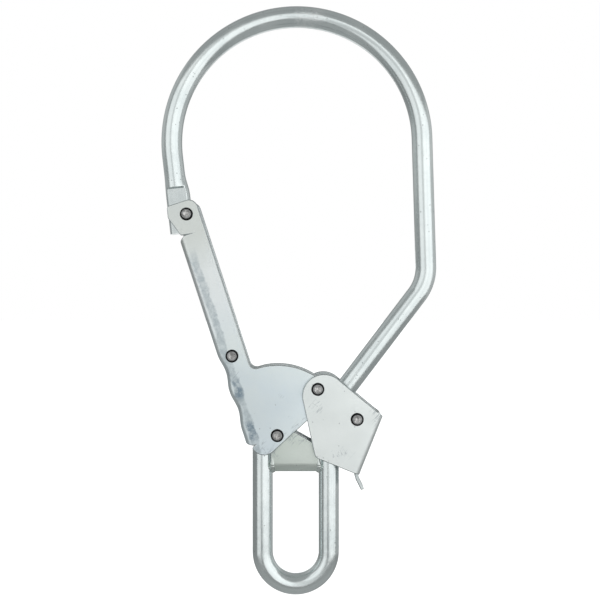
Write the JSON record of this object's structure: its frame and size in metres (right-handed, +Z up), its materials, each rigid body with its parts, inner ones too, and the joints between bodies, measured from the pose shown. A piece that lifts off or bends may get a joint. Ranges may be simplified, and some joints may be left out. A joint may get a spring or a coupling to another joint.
{
  "type": "scaffold hook",
  "caption": "Large-opening safety hook of bent round steel rod with a closed eye, a sprung folded gate and a sprung folded lever that locks it.",
  "frame": {"origin": "seat of the bow: the inside of the rod at the top of the bow, where the load line meets it, in the middle of the rod's thickness", "axes": "+Z up along the load line from the eye to the bow, +X across the hook from the gate's side to the lever's side, +Y from front to back through the thickness"},
  "size_m": [0.1606, 0.0246, 0.3434],
  "materials": {
    "rod_zinc": "bright zinc plating",
    "gate_zinc": "zinc plated sheet, satin",
    "lever_zinc": "zinc plated sheet, satin",
    "bracket_zinc": "zinc plated sheet and weld",
    "rivet_steel": "plain steel, formed heads",
    "sleeve_zinc": "zinc plated tube",
    "spring_steel": "drawn spring wire"
  },
  "bodies": {
    "hook": {"hook_rod": "rod_zinc", "pivot_bracket": "bracket_zinc", "left_weld": "bracket_zinc", "right_weld": "bracket_zinc", "lever_ear": "bracket_zinc"},
    "gate": {"gate": "gate_zinc", "nose_rivet": "rivet_steel", "nose_sleeve": "sleeve_zinc", "tie_rivet": "rivet_steel", "tie_sleeve": "sleeve_zinc", "gate_pivot_rivet": "rivet_steel", "gate_pivot_bush": "sleeve_zinc", "gate_spring": "spring_steel"},
    "lever": {"lever": "lever_zinc", "lock_rivet_front": "rivet_steel", "lock_rivet_back": "rivet_steel", "lever_pivot_rivet": "rivet_steel", "lever_pivot_sleeve": "sleeve_zinc", "lever_spring": "spring_steel"}
  },
  "joints": [
    {"name": "gate_hinge", "type": "hinge", "parent": "hook", "child": "gate", "pos_m": [-0.0113, 0, -0.2374], "axis": [0, 1, 0], "range_deg": [0, 54], "stiffness_Nm_per_rad": 0.6, "springref_deg": -68.75, "deforming": ["gate_spring"]},
    {"name": "lever_hinge", "type": "hinge", "parent": "hook", "child": "lever", "pos_m": [0.0345, 0, -0.2278], "axis": [0, 1, 0], "range_deg": [0, 15], "stiffness_Nm_per_rad": 0.5, "springref_deg": -34.38, "deforming": ["lever_spring"]}
  ]
}
